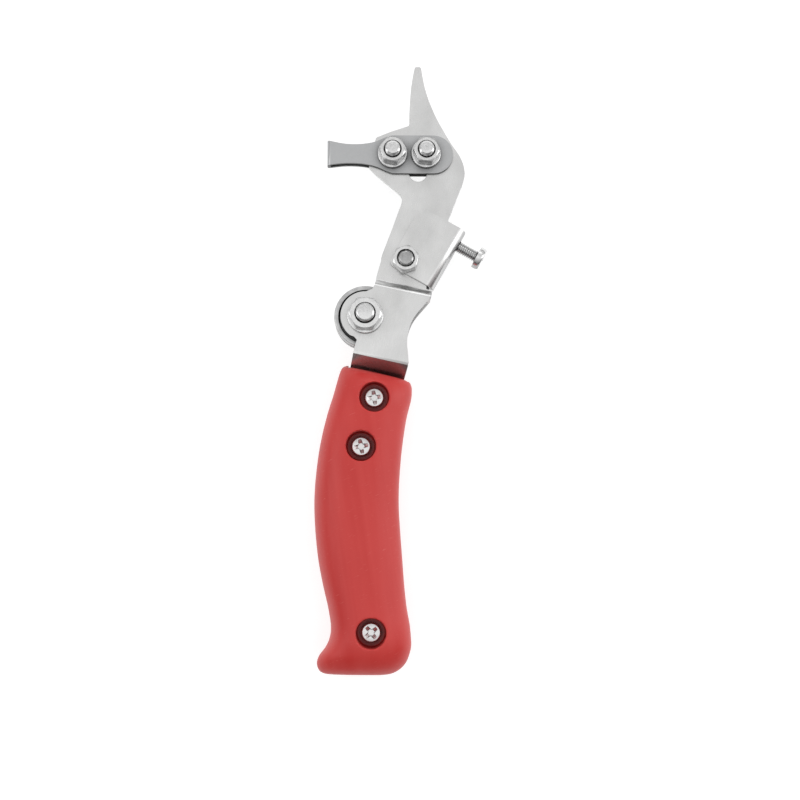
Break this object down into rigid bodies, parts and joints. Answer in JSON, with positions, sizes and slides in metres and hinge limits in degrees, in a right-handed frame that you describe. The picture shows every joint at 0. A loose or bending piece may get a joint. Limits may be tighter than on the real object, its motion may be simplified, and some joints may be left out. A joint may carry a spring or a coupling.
{
  "type": "girdling knife",
  "caption": "Hand tool with a hooked steel head, a folded U-shaped blade, a grooved roller in a forked neck, an adjusting screw and a moulded two-shell handle.",
  "frame": {"origin": "centre of the flat land on the back of the handle", "axes": "+Y along the handle towards the hooked tooth, +Z out of the front of the tool, +X to the adjusting screw's side"},
  "size_m": [0.0579, 0.2055, 0.0263],
  "materials": {
    "stainless_plate": "satin, fine grain",
    "blade_steel": "ground, darker than the plates",
    "plated_hardware": "bright zinc or nickel plate",
    "roller_steel": "turned",
    "red_plastic": "semi-matt moulding"
  },
  "bodies": {
    "handle_and_neck": {"handle_front": "red_plastic", "handle_rear": "red_plastic", "handle_screw_upper": "plated_hardware", "handle_screw_middle": "plated_hardware", "handle_screw_lower": "plated_hardware", "bracket_front": "stainless_plate", "bracket_rear": "stainless_plate", "adjuster_clip": "stainless_plate", "pivot_bolt": "plated_hardware", "pivot_nut": "plated_hardware", "axle_bolt": "plated_hardware", "axle_nut": "plated_hardware", "axle_washer": "plated_hardware", "roller_bush": "plated_hardware"},
    "head": {"head_plate": "stainless_plate", "u_blade": "blade_steel", "blade_washer_front_left": "plated_hardware", "blade_washer_front_right": "plated_hardware", "blade_washer_rear_left": "plated_hardware", "blade_washer_rear_right": "plated_hardware", "blade_nut_left": "plated_hardware", "blade_nut_right": "plated_hardware", "blade_bolt_left": "plated_hardware", "blade_bolt_right": "plated_hardware"},
    "adjuster": {"adjusting_screw": "plated_hardware"},
    "roller_body": {"roller": "roller_steel"}
  },
  "joints": [
    {"name": "head_tilt", "type": "hinge", "parent": "handle_and_neck", "child": "head", "pos_m": [0.0161, 0.0917, 0.011], "axis": [0, 0, 1], "range_deg": [-8, 16]},
    {"name": "adjuster_travel", "type": "slide", "parent": "handle_and_neck", "child": "adjuster", "axis": [-0.8729, 0.4879, 0], "range_m": [-0.0019, 0.0037]},
    {"name": "roller_spin", "type": "hinge", "parent": "handle_and_neck", "child": "roller_body", "pos_m": [0.00265, 0.07275, 0.011], "axis": [0, 0, 1], "continuous": true}
  ],
  "couplings": [
    {"joint": "adjuster_travel", "follows": "head_tilt", "m_per_rad": 0.0128}
  ]
}
